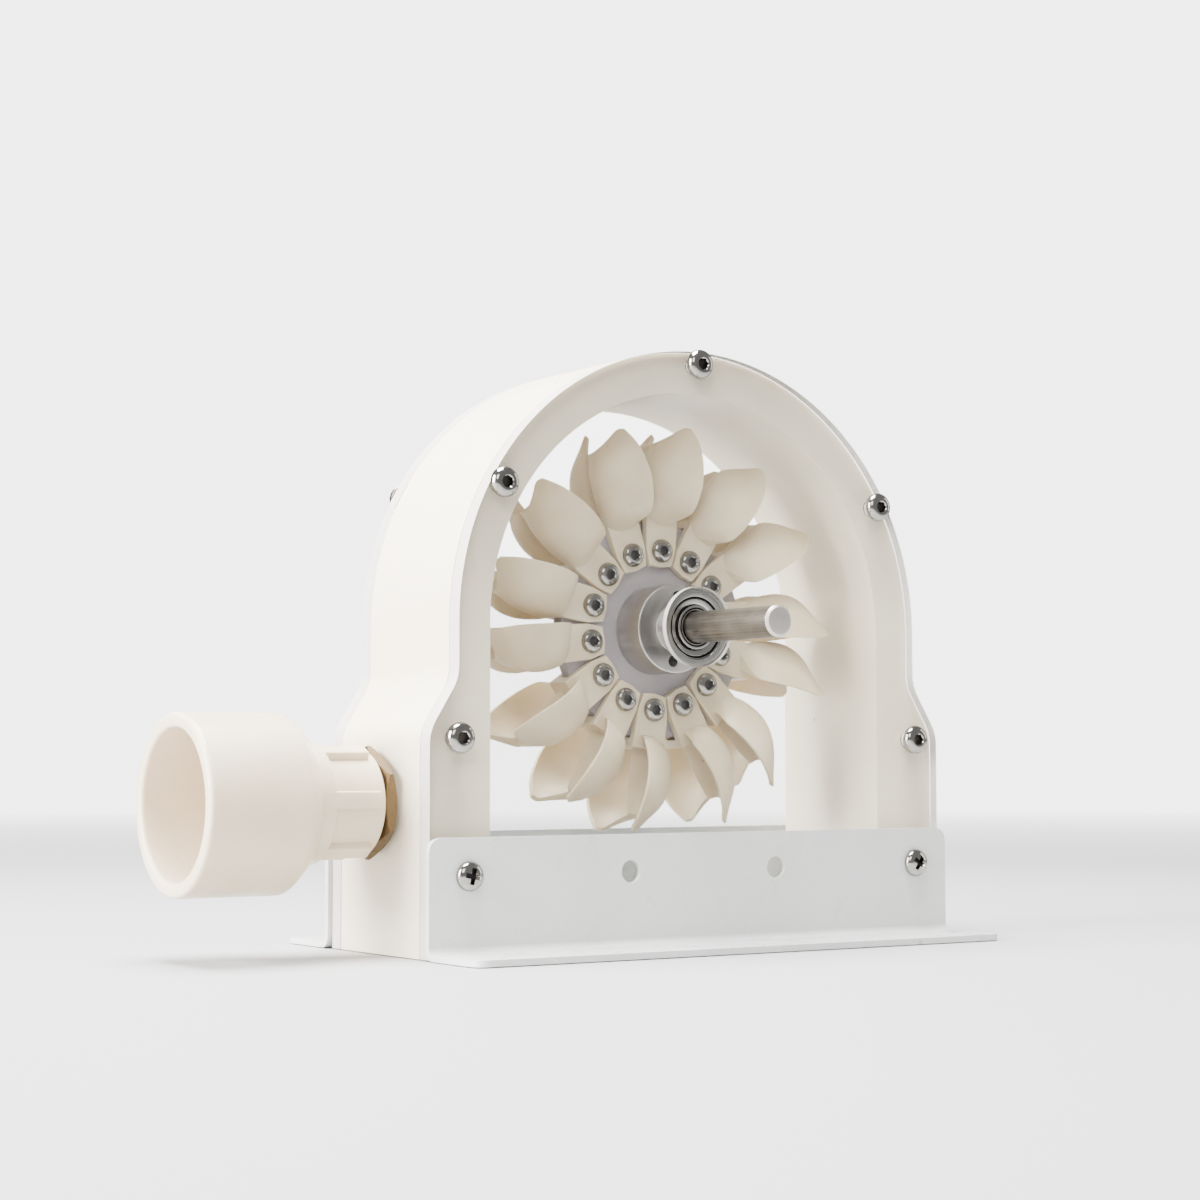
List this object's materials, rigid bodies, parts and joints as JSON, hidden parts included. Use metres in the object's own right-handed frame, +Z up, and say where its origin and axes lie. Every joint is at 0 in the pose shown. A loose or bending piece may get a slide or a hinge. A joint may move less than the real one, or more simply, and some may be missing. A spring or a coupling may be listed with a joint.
{
  "type": "small impulse water turbine unit",
  "caption": "Small impulse water turbine: arched white casing with clear covers, side hose socket, bucket wheel on a steel shaft and two L brackets.",
  "frame": {"origin": "on the ground under the middle of the unit's box, with the inlet and the shaft counted", "axes": "+X from the inlet socket along the casing, -Y out of the front cover along the shaft, +Z up"},
  "size_m": [0.266, 0.1342, 0.1898],
  "materials": {
    "casing": "satin white plastic",
    "clear_cover": "clear acrylic sheet",
    "bracket": "satin light grey enamel",
    "socket": "ivory pipe plastic",
    "brass": "dull machined brass",
    "steel": "bright steel",
    "shaft": "turned steel",
    "hub": "turned aluminium",
    "disc": "satin grey plastic",
    "bucket": "satin ivory plastic"
  },
  "bodies": {
    "housing": {"casing_body": "casing", "front_cover": "clear_cover", "back_cover": "clear_cover", "front_bracket": "bracket", "back_bracket": "bracket", "inlet_socket": "socket", "inlet_nozzle": "brass", "front_bearing_outer": "steel", "back_bearing_outer": "steel", "front_cover_screw_1": "steel", "front_cover_screw_2": "steel", "front_cover_screw_3": "steel", "front_cover_screw_4": "steel", "front_cover_screw_5": "steel", "back_cover_screw_1": "steel", "back_cover_screw_2": "steel", "back_cover_screw_3": "steel", "back_cover_screw_4": "steel", "back_cover_screw_5": "steel", "front_bracket_screw_1": "steel", "front_bracket_screw_2": "steel", "back_bracket_screw_1": "steel", "back_bracket_screw_2": "steel"},
    "runner": {"shaft": "shaft", "front_bearing_inner": "steel", "back_bearing_inner": "steel", "front_hub": "hub", "back_hub": "hub", "runner_disc": "disc", "bucket_01": "bucket", "bucket_02": "bucket", "bucket_03": "bucket", "bucket_04": "bucket", "bucket_05": "bucket", "bucket_06": "bucket", "bucket_07": "bucket", "bucket_08": "bucket", "bucket_09": "bucket", "bucket_10": "bucket", "bucket_11": "bucket", "bucket_12": "bucket", "bucket_13": "bucket", "bucket_14": "bucket"}
  },
  "joints": [
    {"name": "runner_spin", "type": "hinge", "parent": "housing", "child": "runner", "pos_m": [0.0335, 0.00585, 0.101], "axis": [0, -1, 0], "continuous": true}
  ]
}
